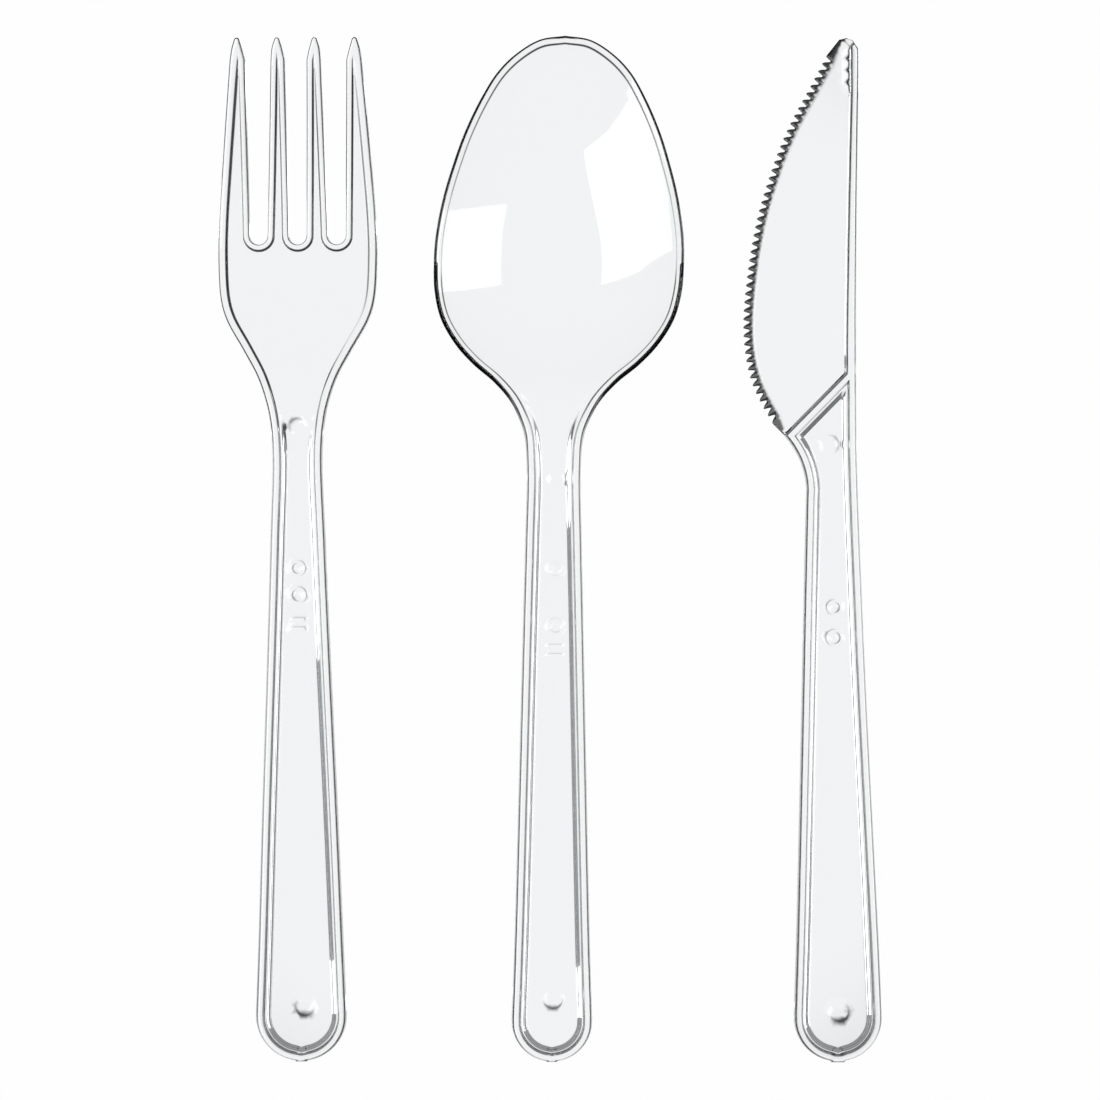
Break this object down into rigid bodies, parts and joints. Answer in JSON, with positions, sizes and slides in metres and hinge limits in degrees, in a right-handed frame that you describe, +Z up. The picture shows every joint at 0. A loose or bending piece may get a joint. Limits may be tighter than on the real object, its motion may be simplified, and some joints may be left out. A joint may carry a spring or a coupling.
{
  "type": "plastic cutlery pack",
  "caption": "Clear disposable plastic fork, spoon and knife lying side by side, with beaded edges and a serrated knife blade.",
  "frame": {"origin": "centre of the bounding box of the three pieces, on the surface that they lie on", "axes": "+Y from the handle ends to the tines, bowl and blade tip; +X from the fork across the spoon to the knife; +Z up"},
  "size_m": [0.1166, 0.1798, 0.0122],
  "materials": {
    "clear_plastic": "clear, polished, colourless polystyrene"
  },
  "bodies": {
    "root": {"fork": "clear_plastic", "spoon": "clear_plastic", "knife": "clear_plastic"}
  },
  "joints": []
}
